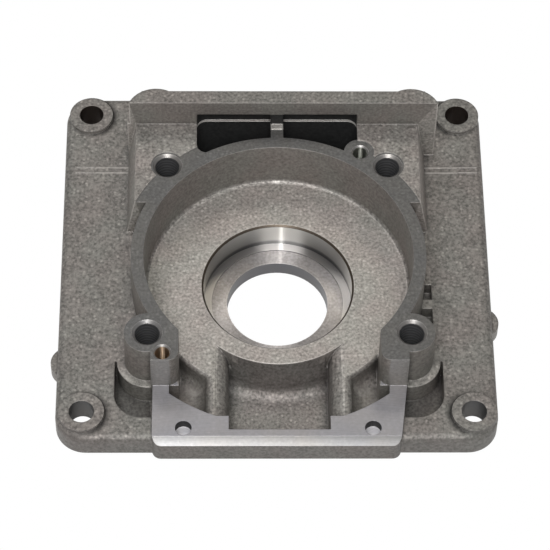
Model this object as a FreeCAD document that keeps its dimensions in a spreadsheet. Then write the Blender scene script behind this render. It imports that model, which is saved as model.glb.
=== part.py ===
import FreeCAD, Part
import os
import math
import Sketcher

# Die cast housing: one aluminium casting, machined on the bearing side.
# Origin: bearing bore axis at the level of the pocket floor.
# +Z points out of the open pocket, -Y is the side with the milled platform.

doc = FreeCAD.newDocument("housing")
V = FreeCAD.Vector

# ---------------------------------------------------------------- sizes, mm
SIZES = [
    # name, value, what it is
    ("flange_left", 76.0, "bore axis to the left edge of the flange"),
    ("flange_right", 74.3, "bore axis to the right edge of the flange"),
    ("flange_rear", 83.3, "bore axis to the rear edge of the flange"),
    ("flange_front", 64.4, "bore axis to the front edge of the flange"),
    ("flange_top", 1.5, "flange face above the pocket floor"),
    ("flange_back", 7.0, "flange back below the pocket floor"),
    ("flange_corner", 10.5, "corner radius of the flange"),
    ("flange_round", 2.6, "rounding of the flange top edge"),
    ("bolt_left", 67.0, "left corner holes from the axis"),
    ("bolt_right", 66.0, "right corner holes from the axis"),
    ("bolt_rear", 74.3, "bore axis to the rear corner holes"),
    ("bolt_front", 54.0, "bore axis to the front corner holes"),
    ("bolt_dia", 8.6, "corner holes, M8 clearance"),
    ("bolt_boss_dia", 15.8, "round pads at the corner holes"),
    ("bolt_boss_rise", 1.2, "height of those pads"),
    ("lug_radius", 6.4, "ejector lugs on the two sides"),
    ("lug_reach", 2.4, "how far a lug stands out of the flange"),
    ("lug_drop", 3.5, "lug top below the flange face"),
    ("lug_left", 31.0, "left lug in front of the bore axis"),
    ("lug_right", 14.4, "right lug in front of the bore axis"),
    ("line_rear", 51.4, "rear witness line behind the bore axis"),
    ("line_pitch", 2.3, "distance of the two witness lines"),
    ("line_width", 0.55, "width of a witness line"),
    ("line_rise", 0.25, "height of a witness line"),
    ("line_inner", 52.6, "inner end of the witness lines"),
    ("line_outer", 72.4, "outer end of the witness lines"),
    ("seat_dia", 52.0, "bearing seat"),
    ("seat_depth", 10.5, "depth of the bearing seat"),
    ("seat_chamfer", 0.7, "lead-in of the seat"),
    ("shoulder_dia", 46.4, "inner edge of the turned shoulder"),
    ("shoulder_step", 0.7, "cast ring below the turned shoulder"),
    ("through_dia", 35.5, "through hole"),
    ("hub_back", 17.0, "back of the hub below the pocket floor"),
    ("hub_dia", 68.0, "hub at the back"),
    ("pocket_dia", 93.2, "main pocket at the machined face"),
    ("pocket_draft", 0.3, "how much smaller the pocket is at its floor"),
    ("pocket_fillet", 1.5, "fillet between floor and wall"),
    ("face_level", 19.0, "machined ring face above the floor"),
    ("face_dia", 109.0, "outer edge of the turned face"),
    ("face_stock", 0.3, "cast skin standing above the turned face"),
    ("ring_dia", 102.0, "outside of the pocket wall"),
    ("block_foot", 106.4, "rear block across X at the flange"),
    ("block_head", 100.0, "rear block across X at its top"),
    ("block_rear", 62.4, "bore axis to the rear wall"),
    ("block_end", 22.3, "bore axis to the end walls of the rear block"),
    ("rim_level", 31.0, "top of the rear rim above the floor"),
    ("rim_inner", 57.0, "bore axis to the inner face of the rear rim"),
    ("bulge_radius", 10.2, "round corners of the rear rim"),
    ("bulge_back", 53.3, "their centres behind the bore axis"),
    ("bulge_left", 42.9, "left round corner from the axis"),
    ("bulge_right", 47.3, "right round corner from the axis"),
    ("tap_dia", 8.5, "core hole of the M10 threads"),
    ("tap_depth", 20.0, "depth of the core holes"),
    ("tap_rear_x", 38.8, "rear threaded holes from the axis, X"),
    ("tap_rear_y", 38.4, "rear threaded holes from the axis, Y"),
    ("tap_front_x", 44.8, "front threaded holes from the axis, X"),
    ("tap_front_y", 32.8, "front threaded holes from the axis, Y"),
    ("tap_chamfer", 1.0, "countersink of the threaded holes"),
    ("spot_dia", 11.6, "spot face of the rear threaded holes"),
    ("boss_radius", 7.9, "round bosses of the front threaded holes"),
    ("boss_foot", 10.7, "radius of their foot in the flange"),
    ("neck_inner", 34.2, "inner side of the necks"),
    ("neck_outer", 43.6, "outer side of the necks"),
    ("neck_front", 44.0, "bore axis to the milled step"),
    ("neck_corner", 3.6, "rounded corner of the necks"),
    ("dowel_dia", 5.0, "dowel holes"),
    ("dowel_depth", 12.0, "depth of the dowel holes"),
    ("dowel_chamfer", 0.6, "edge break of the dowel holes"),
    ("dowel_rear_x", 29.3, "rear dowel hole, X"),
    ("dowel_boss", 5.7, "radius of the boss of the rear dowel hole"),
    ("dowel_spot_dia", 10.0, "spot face of the rear dowel hole"),
    ("dowel_rear_y", 44.5, "rear dowel hole, Y"),
    ("dowel_front_x", 39.6, "front dowel hole, left of the axis"),
    ("dowel_front_y", 40.8, "front dowel hole, in front of the axis"),
    ("plat_level", 3.5, "milled platform above the floor"),
    ("plat_left", 43.1, "left side of the platform"),
    ("plat_right", 43.5, "right side of the platform at its rear"),
    ("plat_taper", 2.7, "how much the right side comes in at the front"),
    ("plat_front", 66.8, "bore axis to the front wall of the platform"),
    ("plat_chamfer", 2.45, "milled chamfer along the front edge"),
    ("plat_corner", 3.0, "front corners of the platform"),
    ("peg_dia", 5.6, "shallow locating holes in the platform"),
    ("peg_depth", 3.6, "their depth"),
    ("peg_left", 32.5, "left locating hole from the axis"),
    ("peg_right", 31.5, "right locating hole from the axis"),
    ("peg_y", 61.1, "locating holes in front of the axis"),
    ("moat_radius", 60.3, "outer wall of the crescent hollows"),
    ("moat_side", 37.5, "side wall of the crescent hollows"),
    ("moat_inner", 25.0, "side of the hollows at the columns"),
    ("moat_floor", 10.0, "floor of the hollows below the pocket floor"),
    ("moat_round", 5.0, "fillets in the hollows"),
    ("disc_radius", 45.5, "front edge of the pocket floor"),
    ("disc_round", 1.5, "rounding of that edge"),
    ("column_round", 2.5, "outer shoulder of the columns"),
    ("trough_half", 17.2, "half width of the channel"),
    ("trough_wall", 33.0, "radius of the wall behind the channel, at its top"),
    ("trough_slope", 2.6, "how far that wall leans forward"),
    ("trough_floor", 14.0, "channel floor below the pocket floor"),
    ("trough_round", 5.0, "fillet at the foot of that wall"),
    ("trough_shoulder", 6.0, "rounded shoulders along the channel"),
    ("trough_front", 61.7, "bore axis to the front end of the channel"),
    ("cavity_outer", 56.2, "corner hollows, outer side"),
    ("cavity_front", 55.6, "corner hollows, front side"),
    ("cavity_round", 9.5, "corner hollows, outer front corner"),
    ("cavity_floor", 7.0, "their floor below the pocket floor"),
    ("window_outer", 28.5, "vents, outer side"),
    ("window_rib", 4.4, "rib between the vents"),
    ("window_rear", 60.4, "vents, rear side"),
    ("window_front", 44.3, "vents, front corners"),
    ("window_level", 24.5, "top of the vents above the floor"),
    ("window_round", 3.6, "outer corners of the vents"),
    ("ledge_level", 17.5, "parting ledge in the vents above the floor"),
    ("ledge_reach", 0.9, "how far the ledge stands out of the rear wall"),
    ("slot_width", 2.7, "side slots, width"),
    ("slot_inner", 50.9, "side slots, inner side"),
    ("slot_rear_start", 0.7, "rear slot, rear end in front of the axis"),
    ("slot_rear_end", 7.0, "rear slot, front end"),
    ("slot_front_start", 10.8, "front slot, rear end"),
    ("slot_front_end", 17.0, "front slot, front end"),
    ("slot_depth", 5.0, "depth of the side slots"),
    ("pilot_half", 59.0, "back pad, half width"),
    ("pilot_rear", 66.0, "back pad, rear side"),
    ("pilot_front", 59.5, "back pad, front side"),
    ("pilot_back", 11.0, "back pad below the pocket floor"),
    ("pilot_corner", 12.0, "back pad, corners"),
    ("sump_radius", 63.0, "round back of the hollows"),
    ("sump_back", 13.0, "its face below the pocket floor"),
    ("keel_half", 21.5, "back of the channel, half width"),
    ("keel_front", 58.0, "back of the channel, front end"),
    ("core_inner", 38.5, "weight saving pockets at the back, inner radius"),
    ("core_outer", 47.5, "their outer radius"),
    ("core_span", 40.0, "their angle, degrees"),
    ("core_pitch", 60.0, "their spacing, degrees"),
    ("core_skin", 5.0, "floor left above them"),
    ("well_inner", 33.5, "rear corner wells, inner side"),
    ("well_outer", 47.0, "rear corner wells, outer side"),
    ("well_front", 47.6, "rear corner wells, front side"),
    ("well_rear", 57.2, "rear corner wells, rear side"),
    ("well_level", 13.0, "rear corner wells, top above the floor"),
    ("well_round", 2.5, "rear corner wells, corners"),
]
sheet = doc.addObject("Spreadsheet::Sheet", "Sizes")
for row, (name, value, note) in enumerate(SIZES, start=1):
    sheet.set("A%d" % row, note)
    sheet.set("B%d" % row, str(value))
    sheet.setAlias("B%d" % row, name)
doc.recompute()
size = {name: value for name, value, note in SIZES}


def value(expression):
    """Number behind an expression of sheet names, so a sketch starts solved."""
    words = dict(size)
    total = 0.0
    for term in expression.replace("-", "+-").split("+"):
        term = term.strip()
        if not term:
            continue
        sign = 1.0
        if term.startswith("-"):
            sign = -1.0
            term = term[1:].strip()
        divisor = 1.0
        if "/" in term:
            term, low = term.split("/")
            divisor = float(low)
        term = term.strip()
        total += sign * (words[term] if term in words else float(term)) / divisor
    return total


def bound(expression):
    """The same expression written for the expression engine."""
    out = []
    for word in expression.replace("-", " - ").replace("+", " + ").replace("/", " / ").split():
        out.append("Sizes." + word if word in size else word)
    return " ".join(out)


def new_body(name):
    return doc.addObject("PartDesign::Body", name)


def origin_plane(body, role):
    for feature in body.Origin.OriginFeatures:
        if feature.Role == role:
            return feature
    raise ValueError(role)


def new_sketch(body, name, role="XY_Plane", level=None):
    """Sketch on an origin plane of the body, moved along the plane normal by `level`."""
    sketch = body.newObject("Sketcher::SketchObject", name)
    sketch.AttachmentSupport = [(origin_plane(body, role), "")]
    sketch.MapMode = "FlatFace"
    if level:
        sketch.AttachmentOffset = FreeCAD.Placement(V(0, 0, value(level)), FreeCAD.Rotation())
        sketch.setExpression("AttachmentOffset.Base.z", bound(level))
    return sketch


def locate(sketch, geo, point, xs, ys):
    """Tie a point of the sketch to two sheet expressions."""
    for kind, text in (("DistanceX", xs), ("DistanceY", ys)):
        if text is None:
            continue
        if text == "0":
            axis = -2 if kind == "DistanceX" else -1
            sketch.addConstraint(Sketcher.Constraint("PointOnObject", geo, point, axis))
            continue
        number = value(text)
        index = sketch.addConstraint(Sketcher.Constraint(kind, -1, 1, geo, point, number))
        sketch.setExpression("Constraints[%d]" % index, bound(text))


def add_circle(sketch, xs, ys, rs):
    geo = sketch.addGeometry(Part.Circle(V(value(xs), value(ys), 0), V(0, 0, 1), value(rs)), False)
    if xs == "0" and ys == "0":
        sketch.addConstraint(Sketcher.Constraint("Coincident", geo, 3, -1, 1))
    else:
        locate(sketch, geo, 3, xs, ys)
    index = sketch.addConstraint(Sketcher.Constraint("Radius", geo, value(rs)))
    sketch.setExpression("Constraints[%d]" % index, bound(rs))
    return geo


def add_outline(sketch, points):
    """Closed outline. A point is (x, y) for a straight side to the next point,
    or (x, y, cx, cy, turn) for an arc to the next point round the centre
    (cx, cy); turn is +1 anticlockwise, -1 clockwise."""
    count = len(points)
    geos = []
    xy = [V(value(p[0]), value(p[1]), 0) for p in points]
    for i, p in enumerate(points):
        a = xy[i]
        b = xy[(i + 1) % count]
        if len(p) == 2:
            geos.append((sketch.addGeometry(Part.LineSegment(a, b), False), 1, 2))
            continue
        c = V(value(p[2]), value(p[3]), 0)
        circle = Part.Circle(c, V(0, 0, 1), (a - c).Length)
        start = math.atan2(a.y - c.y, a.x - c.x)
        stop = math.atan2(b.y - c.y, b.x - c.x)
        if p[4] > 0:
            geos.append((sketch.addGeometry(Part.ArcOfCircle(circle, start, stop), False), 1, 2))
        else:
            geos.append((sketch.addGeometry(Part.ArcOfCircle(circle, stop, start), False), 2, 1))
    for i, p in enumerate(points):
        geo, first, last = geos[i]
        follower, follower_first, follower_last = geos[(i + 1) % count]
        sketch.addConstraint(Sketcher.Constraint("Coincident", geo, last, follower, follower_first))
    for i, p in enumerate(points):
        geo, first, last = geos[i]
        before = points[i - 1]
        if len(p) == 5:
            locate(sketch, geo, 3, p[2], p[3])
        if len(before) == 5:
            # the end of an arc keeps only the coordinate its radius leaves free
            centre = V(value(before[2]), value(before[3]), 0)
            reach = xy[i] - centre
            if abs(reach.x) >= abs(reach.y):
                locate(sketch, geo, first, None, p[1])
            else:
                locate(sketch, geo, first, p[0], None)
        else:
            locate(sketch, geo, first, p[0], p[1])
    return geos


def rectangle(sketch, x_low, x_high, y_low, y_high):
    return add_outline(sketch, [(x_low, y_low), (x_high, y_low), (x_high, y_high), (x_low, y_high)])


def check(feature, what):
    doc.recompute()
    shape = feature.Shape
    if shape.isNull() or "Invalid" in feature.State or "Error" in feature.State:
        raise RuntimeError("bad shape after " + what)
    return shape.Volume


def pad(body, sketch, name, length):
    """Raise a sketch by `length` along its plane normal."""
    feature = body.newObject("PartDesign::Pad", name)
    feature.Profile = sketch
    feature.Length = value(length)
    feature.setExpression("Length", bound(length))
    check(feature, name)
    return feature


def pocket(body, sketch, name, depth):
    """Cut a sketch by `depth` against its plane normal; refuses to cut nothing."""
    before = body.Shape.Volume
    feature = body.newObject("PartDesign::Pocket", name)
    feature.Profile = sketch
    feature.Length = value(depth)
    feature.setExpression("Length", bound(depth))
    after = check(feature, name)
    if not after < before - 0.01:
        raise RuntimeError(name + " cuts nothing")
    return feature


def groove(body, sketch, name):
    """Turn a half section in the XZ plane about the bore axis and cut it."""
    before = body.Shape.Volume
    feature = body.newObject("PartDesign::Groove", name)
    feature.Profile = sketch
    feature.ReferenceAxis = (sketch, ["V_Axis"])
    feature.Angle = 360.0
    after = check(feature, name)
    if not after < before - 0.01:
        raise RuntimeError(name + " cuts nothing")
    return feature


def edges_where(shape, test):
    return ["Edge%d" % (i + 1) for i, edge in enumerate(shape.Edges) if test(edge)]


def dress(body, base, kind, name, edges, amount):
    """Fillet or chamfer the given edges."""
    if not edges:
        raise RuntimeError(name + " found no edges")
    feature = body.newObject("PartDesign::" + kind, name)
    feature.Base = (base, edges)
    prop = "Radius" if kind == "Fillet" else "Size"
    setattr(feature, prop, value(amount))
    feature.setExpression(prop, bound(amount))
    check(feature, name)
    return feature


def vertical(edge):
    """True for a straight edge along Z."""
    if len(edge.Vertexes) != 2:
        return False
    a = edge.Vertexes[0].Point
    b = edge.Vertexes[1].Point
    return abs(a.x - b.x) < 1e-6 and abs(a.y - b.y) < 1e-6


def circle_at(edge, x, y, z, radius):
    """True for a full circle with this centre and radius."""
    curve = edge.Curve
    if curve.TypeId != "Part::GeomCircle" or len(edge.Vertexes) != 1:
        return False
    centre = curve.Center
    near = abs(centre.x - x) < 1e-4 and abs(centre.y - y) < 1e-4 and abs(centre.z - z) < 1e-4
    return near and abs(curve.Radius - radius) < 1e-4


# ------------------------------------------------------------------ flange
body = new_body("casting")
sk = new_sketch(body, "flange_outline", level="-flange_back")
rectangle(sk, "-flange_left", "flange_right", "-flange_front", "flange_rear")
flange = pad(body, sk, "flange", "flange_top+flange_back")
corners = edges_where(flange.Shape, vertical)
rounded = dress(body, flange, "Fillet", "flange_corners", corners, "flange_corner")
top_level = value("flange_top")
rim_edges = edges_where(rounded.Shape, lambda e: abs(e.BoundBox.ZMin - top_level) < 1e-5 and
                        abs(e.BoundBox.ZMax - top_level) < 1e-5)
dress(body, rounded, "Fillet", "flange_edge", rim_edges, "flange_round")

# round ejector lugs on both sides, lower than the flange face
sk = new_sketch(body, "lug_outline", level="-flange_back")
add_circle(sk, "-flange_left-lug_reach+lug_radius", "-lug_left", "lug_radius")
add_circle(sk, "flange_right+lug_reach-lug_radius", "-lug_right", "lug_radius")
pad(body, sk, "lugs", "flange_back+flange_top-lug_drop")

# two fine raised witness lines of the die insert on each side
sk = new_sketch(body, "line_outline", level="flange_top-0.2")
for offset in ("", "-line_pitch"):
    low = "line_rear" + offset + "-line_width"
    high = "line_rear" + offset
    rectangle(sk, "-line_outer", "-line_inner", low, high)
    rectangle(sk, "line_inner", "line_outer", low, high)
pad(body, sk, "witness_lines", "line_rise+0.2")

# round pads at the corner holes
sk = new_sketch(body, "bolt_boss_outline", level="-flange_top")
for xs in ("-bolt_left", "bolt_right"):
    add_circle(sk, xs, "bolt_rear", "bolt_boss_dia/2")
    add_circle(sk, xs, "-bolt_front", "bolt_boss_dia/2")
pad(body, sk, "bolt_bosses", "flange_top+flange_top+bolt_boss_rise")

# ------------------------------------------------------- back of the casting
sk = new_sketch(body, "rear_pad_outline", level="-pilot_back")
for xs in ("-bolt_left", "bolt_right"):
    add_circle(sk, xs, "bolt_rear", "bolt_boss_dia/2")
pad(body, sk, "rear_pads", "pilot_back-flange_back+0.5")

sk = new_sketch(body, "pilot_outline", level="-pilot_back")
rectangle(sk, "-pilot_half", "pilot_half", "-pilot_front", "pilot_rear")
pilot = pad(body, sk, "pilot", "pilot_back-flange_back+0.5")
low = -value("pilot_back")
pilot_edges = edges_where(pilot.Shape, lambda e: vertical(e) and e.BoundBox.ZMin < low + 1e-4)
dress(body, pilot, "Fillet", "pilot_corners", pilot_edges, "pilot_corner")

sk = new_sketch(body, "sump_outline", level="-sump_back")
add_circle(sk, "0", "0", "sump_radius")
pad(body, sk, "sump", "sump_back-flange_back+0.5")

sk = new_sketch(body, "hub_outline", level="-hub_back")
add_circle(sk, "0", "0", "hub_dia/2")
pad(body, sk, "hub", "hub_back-sump_back+0.5")

sk = new_sketch(body, "keel_outline", level="-hub_back")
rectangle(sk, "-keel_half", "keel_half", "-keel_front", "-seat_dia/2")
keel = pad(body, sk, "keel", "hub_back-sump_back+0.5")
front_line = -value("keel_front")
keel_edges = edges_where(keel.Shape, lambda e: vertical(e) and abs(e.BoundBox.YMin - front_line) < 1e-4)
dress(body, keel, "Fillet", "keel_corners", keel_edges, "flange_corner")

# ------------------------------------------- hollows beside the platform
sk = new_sketch(body, "cavity_outline", level="flange_top")
right = [("neck_outer-1", "-cavity_front"),
         ("cavity_outer-cavity_round", "-cavity_front", "cavity_outer-cavity_round",
          "-cavity_front+cavity_round", 1),
         ("cavity_outer", "-cavity_front+cavity_round"),
         ("cavity_outer", "-tap_front_y"),
         ("neck_outer-1", "-tap_front_y")]
left = [("-neck_outer+1", "-cavity_front"),
        ("-neck_outer+1", "-tap_front_y"),
        ("-cavity_outer", "-tap_front_y"),
        ("-cavity_outer", "-cavity_front+cavity_round", "-cavity_outer+cavity_round",
         "-cavity_front+cavity_round", 1),
        ("-cavity_outer+cavity_round", "-cavity_front")]
add_outline(sk, right)
add_outline(sk, left)
pocket(body, sk, "cavities", "flange_top+cavity_floor")

sk = new_sketch(body, "boss_foot_outline", level="-cavity_floor-0.5")
for xs in ("-tap_front_x", "tap_front_x"):
    add_circle(sk, xs, "-tap_front_y", "boss_foot")
pad(body, sk, "boss_feet", "cavity_floor+flange_top+0.5")

# narrow slots between the pocket wall and the flange, right side only
sk = new_sketch(body, "slot_outline", level="flange_top")
rectangle(sk, "slot_inner-3", "slot_inner+slot_width", "-slot_rear_end", "-slot_rear_start")
rectangle(sk, "slot_inner-3", "slot_inner+slot_width", "-slot_front_end", "-slot_front_start")
pocket(body, sk, "side_slots", "slot_depth")

# ---------------------------------------------------------- milled platform
sk = new_sketch(body, "platform_outline", level="-flange_back")
add_outline(sk, [("-plat_left", "-neck_front+2"), ("-plat_left", "-plat_front"),
                 ("plat_right-plat_taper", "-plat_front"), ("plat_right", "-neck_front"),
                 ("plat_right", "-neck_front+2")])
platform = pad(body, sk, "platform", "flange_back+plat_level")
front_line = -value("plat_front")
edges = edges_where(platform.Shape, lambda e: vertical(e) and abs(e.BoundBox.YMin - front_line) < 1e-4)
dress(body, platform, "Fillet", "platform_corners", edges, "plat_corner")

# the chamfer is milled straight across the front edge
sk = new_sketch(body, "bevel_outline", role="YZ_Plane", level="plat_right+2")
add_outline(sk, [("-plat_front-2", "plat_level-plat_chamfer-2"),
                 ("-plat_front+plat_chamfer", "plat_level"),
                 ("-plat_front-2", "plat_level")])
pocket(body, sk, "platform_bevel", "plat_left+plat_right+4")

# ----------------------------------------------------------- raised housing
sk = new_sketch(body, "block_outline", level="flange_top-1")
rectangle(sk, "-block_foot/2", "block_foot/2", "block_end", "block_rear")
pad(body, sk, "rear_block", "face_level+face_stock-flange_top+1")

sk = new_sketch(body, "bulge_outline", level="flange_top-1")
add_circle(sk, "-bulge_left", "bulge_back", "bulge_radius")
add_circle(sk, "bulge_right", "bulge_back", "bulge_radius")
pad(body, sk, "rim_bulges", "rim_level-flange_top+1")

sk = new_sketch(body, "rim_outline", level="face_level-1")
rectangle(sk, "-bulge_left-bulge_radius/2", "bulge_right+bulge_radius/2", "rim_inner", "block_rear")
pad(body, sk, "rear_rim", "rim_level-face_level+1")

# the rim keeps one flat inner face
sk = new_sketch(body, "rim_face_outline", level="rim_level")
rectangle(sk, "-block_foot/2-8", "block_foot/2+8", "tap_rear_y", "rim_inner")
pocket(body, sk, "rim_face", "rim_level-face_level-face_stock")

# the side walls of the block lean inwards
sk = new_sketch(body, "lean_outline", role="XZ_Plane", level="-rim_inner")
add_outline(sk, [("block_head/2", "face_level+face_stock"), ("block_foot/2", "flange_top"),
                 ("block_foot/2+12", "flange_top"), ("block_foot/2+12", "face_level+face_stock")])
add_outline(sk, [("-block_head/2", "face_level+face_stock"), ("-block_foot/2-12", "face_level+face_stock"),
                 ("-block_foot/2-12", "flange_top"), ("-block_foot/2", "flange_top")])
before = body.Shape.Volume
lean = body.newObject("PartDesign::Pocket", "leaning_sides")
lean.Profile = sk
lean.Reversed = True
lean.Length = value("rim_inner-block_end")
lean.setExpression("Length", bound("rim_inner-block_end"))
if not check(lean, "leaning_sides") < before - 0.01:
    raise RuntimeError("leaning_sides cuts nothing")

# vents: wide down to the parting ledge, then on through the back
for name, top, depth, rear in (("vent_mouths", "window_level", "window_level-ledge_level", "window_rear"),
                               ("vents", "ledge_level", "ledge_level+sump_back+1", "window_rear-ledge_reach")):
    sk = new_sketch(body, name + "_outline", level=top)
    inner_corner = "window_outer-window_round"
    add_outline(sk, [("window_rib/2", "window_front"),
                     (inner_corner, "window_front", inner_corner, "window_front+window_round", 1),
                     ("window_outer", "window_front+window_round"),
                     ("window_outer", rear + "-window_round", inner_corner, rear + "-window_round", 1),
                     (inner_corner, rear),
                     ("window_rib/2", rear)])
    add_outline(sk, [("-window_rib/2", "window_front"),
                     ("-window_rib/2", rear),
                     ("-window_outer+window_round", rear, "-window_outer+window_round",
                      rear + "-window_round", 1),
                     ("-window_outer", rear + "-window_round"),
                     ("-window_outer", "window_front+window_round", "-window_outer+window_round",
                      "window_front+window_round", 1),
                     ("-window_outer+window_round", "window_front")])
    pocket(body, sk, name, depth)

# wells that keep the wall thickness even, open at the back
sk = new_sketch(body, "well_outline", level="well_level")
rectangle(sk, "well_inner", "well_outer", "well_front", "well_rear")
rectangle(sk, "-well_outer", "-well_inner", "well_front", "well_rear")
wells = pocket(body, sk, "wells", "well_level+sump_back+1")
low = value("well_level")
edges = edges_where(wells.Shape, lambda e: vertical(e) and abs(e.BoundBox.ZMax - low) < 1e-4)
dress(body, wells, "Fillet", "well_corners", edges, "well_round")

# pocket wall, front bosses and the two necks down to the platform
sk = new_sketch(body, "ring_outline", level="-pilot_back")
add_circle(sk, "0", "0", "ring_dia/2")
pad(body, sk, "pocket_wall", "pilot_back+face_level")

sk = new_sketch(body, "boss_outline", level="-pilot_back")
for xs in ("-tap_front_x", "tap_front_x"):
    add_circle(sk, xs, "-tap_front_y", "boss_radius")
add_circle(sk, "dowel_rear_x", "dowel_rear_y", "dowel_boss")
pad(body, sk, "bosses", "face_level+pilot_back")

# turned face: stands lower than the cast skin of the rear block
sk = new_sketch(body, "turned_outline", level="face_level+face_stock")
add_circle(sk, "0", "0", "face_dia/2")
pocket(body, sk, "turned_face", "face_stock")
sk = new_sketch(body, "spot_outline", level="face_level+face_stock")
add_circle(sk, "-tap_rear_x", "tap_rear_y", "spot_dia/2")
add_circle(sk, "tap_rear_x", "tap_rear_y", "spot_dia/2")
add_circle(sk, "dowel_rear_x", "dowel_rear_y", "dowel_spot_dia/2")
pocket(body, sk, "spot_faces", "face_stock")

# mouth: the pocket wall is open towards the platform
sk = new_sketch(body, "mouth_outline", level="face_level")
rectangle(sk, "-neck_inner", "neck_inner", "-moat_radius+1", "-seat_dia/2")
pocket(body, sk, "mouth", "face_level-plat_level")

sk = new_sketch(body, "neck_outline", level="flange_top-1")
add_outline(sk, [("neck_inner", "-tap_front_y"),
                 ("neck_inner", "-neck_front+neck_corner", "neck_inner+neck_corner",
                  "-neck_front+neck_corner", 1),
                 ("neck_inner+neck_corner", "-neck_front"),
                 ("neck_outer", "-neck_front"),
                 ("neck_outer", "-tap_front_y")])
add_outline(sk, [("-neck_inner", "-tap_front_y"),
                 ("-neck_outer", "-tap_front_y"),
                 ("-neck_outer", "-neck_front"),
                 ("-neck_inner-neck_corner", "-neck_front", "-neck_inner-neck_corner",
                  "-neck_front+neck_corner", 1),
                 ("-neck_inner", "-neck_front+neck_corner")])
pad(body, sk, "necks", "face_level-flange_top+1")

# ------------------------------------------------------------- main pocket
sk = new_sketch(body, "pocket_section", role="XZ_Plane")
add_outline(sk, [("0", "0"),
                 ("pocket_dia/2-pocket_draft-pocket_fillet", "0",
                  "pocket_dia/2-pocket_draft-pocket_fillet", "pocket_fillet", 1),
                 ("pocket_dia/2-pocket_draft", "pocket_fillet"),
                 ("pocket_dia/2", "face_level"),
                 ("pocket_dia/2", "face_level+5"),
                 ("0", "face_level+5")])
groove(body, sk, "main_pocket")

# bearing seat, shoulder and through hole
sk = new_sketch(body, "bore_section", role="XZ_Plane")
add_outline(sk, [("0", "-hub_back-1"),
                 ("through_dia/2", "-hub_back-1"),
                 ("through_dia/2", "-seat_depth-shoulder_step"),
                 ("shoulder_dia/2", "-seat_depth-shoulder_step"),
                 ("shoulder_dia/2", "-seat_depth"),
                 ("seat_dia/2", "-seat_depth"),
                 ("seat_dia/2", "-seat_chamfer"),
                 ("seat_dia/2+seat_chamfer", "0"),
                 ("seat_dia/2+seat_chamfer", "2"),
                 ("0", "2")])
groove(body, sk, "bearing_bore")

# ------------------------------------------------------------------- holes
sk = new_sketch(body, "bolt_hole_outline", level="flange_top+bolt_boss_rise")
for xs in ("-bolt_left", "bolt_right"):
    add_circle(sk, xs, "bolt_rear", "bolt_dia/2")
    add_circle(sk, xs, "-bolt_front", "bolt_dia/2")
pocket(body, sk, "bolt_holes", "flange_top+bolt_boss_rise+pilot_back+1")

sk = new_sketch(body, "tap_outline", level="face_level")
for xs in ("-tap_rear_x", "tap_rear_x"):
    add_circle(sk, xs, "tap_rear_y", "tap_dia/2")
for xs in ("-tap_front_x", "tap_front_x"):
    add_circle(sk, xs, "-tap_front_y", "tap_dia/2")
taps = pocket(body, sk, "threaded_holes", "tap_depth")
top = value("face_level")
tap_places = [(sx * size["tap_rear_x"], size["tap_rear_y"]) for sx in (-1, 1)]
tap_places += [(sx * size["tap_front_x"], -size["tap_front_y"]) for sx in (-1, 1)]
edges = edges_where(taps.Shape, lambda e: any(circle_at(e, x, y, top, size["tap_dia"] / 2)
                                              for x, y in tap_places))
dress(body, taps, "Chamfer", "tap_countersinks", edges, "tap_chamfer")

sk = new_sketch(body, "dowel_outline", level="face_level")
add_circle(sk, "dowel_rear_x", "dowel_rear_y", "dowel_dia/2")
add_circle(sk, "-dowel_front_x", "-dowel_front_y", "dowel_dia/2")
dowels = pocket(body, sk, "dowel_holes", "dowel_depth")
dowel_places = [(size["dowel_rear_x"], size["dowel_rear_y"]),
                (-size["dowel_front_x"], -size["dowel_front_y"])]
edges = edges_where(dowels.Shape, lambda e: any(circle_at(e, x, y, top, size["dowel_dia"] / 2)
                                                for x, y in dowel_places))
dress(body, dowels, "Chamfer", "dowel_edges", edges, "dowel_chamfer")

sk = new_sketch(body, "peg_outline", level="plat_level")
for xs in ("-peg_left", "peg_right"):
    add_circle(sk, xs, "-peg_y", "peg_dia/2")
pocket(body, sk, "platform_holes", "peg_depth")

# ------------------------------------------- weight saving pockets at the back
# one sector under the pocket floor, repeated round the bore
half_span = math.radians(size["core_span"] / 2)
sk = new_sketch(body, "core_outline", level="-core_skin")
inner = Part.Circle(V(0, 0, 0), V(0, 0, 1), size["core_inner"])
outer = Part.Circle(V(0, 0, 0), V(0, 0, 1), size["core_outer"])
middle = math.pi / 2
arc_in = sk.addGeometry(Part.ArcOfCircle(inner, middle - half_span, middle + half_span), False)
arc_out = sk.addGeometry(Part.ArcOfCircle(outer, middle - half_span, middle + half_span), False)
ends = []
for angle in (middle - half_span, middle + half_span):
    ray = V(math.cos(angle), math.sin(angle), 0)
    ends.append(sk.addGeometry(Part.LineSegment(ray * size["core_inner"], ray * size["core_outer"]), False))
for k, end in enumerate(ends):
    sk.addConstraint(Sketcher.Constraint("Coincident", end, 1, arc_in, k + 1))
    sk.addConstraint(Sketcher.Constraint("Coincident", end, 2, arc_out, k + 1))
for arc, name in ((arc_in, "core_inner"), (arc_out, "core_outer")):
    sk.addConstraint(Sketcher.Constraint("Coincident", arc, 3, -1, 1))
    index = sk.addConstraint(Sketcher.Constraint("Radius", arc, size[name]))
    sk.setExpression("Constraints[%d]" % index, bound(name))
sk.addConstraint(Sketcher.Constraint("PointOnObject", -1, 1, ends[0]))
sk.addConstraint(Sketcher.Constraint("Symmetric", arc_in, 1, arc_in, 2, -2))
index = sk.addConstraint(Sketcher.Constraint("Angle", ends[0], 1, ends[1], 1, 2 * half_span))
sk.setExpression("Constraints[%d]" % index, "Sizes.core_span * 1 deg")
turn = FreeCAD.Rotation(V(0, 0, 1), -size["core_pitch"])
sk.AttachmentOffset = FreeCAD.Placement(V(0, 0, value("-core_skin")), turn)
sk.setExpression("AttachmentOffset.Rotation.Angle", "-Sizes.core_pitch * 1 deg")
core = pocket(body, sk, "core", "sump_back-core_skin+1")
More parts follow.
